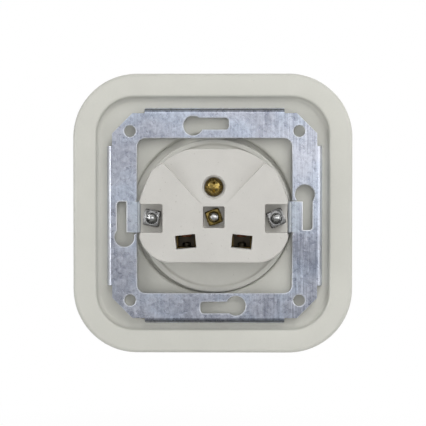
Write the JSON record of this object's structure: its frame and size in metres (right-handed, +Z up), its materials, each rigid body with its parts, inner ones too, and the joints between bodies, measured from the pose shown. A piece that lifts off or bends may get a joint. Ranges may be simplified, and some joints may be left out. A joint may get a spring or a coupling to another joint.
{
  "type": "earthed wall socket with ceramic frame",
  "caption": "Flush earthed wall socket seen from its wall side: ceramic frame and insert, ceramic terminal block and a steel mounting strap.",
  "frame": {"origin": "middle of the mounting strap's back face, which lies on the wall", "axes": "+Z up as mounted, +X to the right seen from the room, +Y into the wall"},
  "size_m": [0.0931, 0.041, 0.093],
  "materials": {
    "glazed_ceramic": "satin glaze",
    "steatite": "unglazed, pressed",
    "zinc_steel": "zinc plated",
    "brass": "turned",
    "spring_bronze": "nickel-free spring strip",
    "copper": "bare copper alloy"
  },
  "bodies": {
    "root": {"cover_frame": "glazed_ceramic", "socket_insert": "glazed_ceramic", "terminal_block": "steatite", "mounting_strap": "zinc_steel", "centre_screw": "zinc_steel", "strap_screw_right": "zinc_steel", "strap_screw_left": "zinc_steel", "strap_nut_right": "zinc_steel", "strap_nut_left": "zinc_steel", "clamp_screw_right": "zinc_steel", "clamp_screw_left": "zinc_steel", "contact_spring_right": "zinc_steel", "contact_spring_left": "zinc_steel", "centre_nut": "brass", "earth_screw": "brass", "earth_washer": "brass", "earth_link": "brass", "terminal_cage_right": "brass", "terminal_cage_left": "brass", "earth_bracket": "spring_bronze", "contact_right": "copper", "contact_left": "copper"}
  },
  "joints": []
}
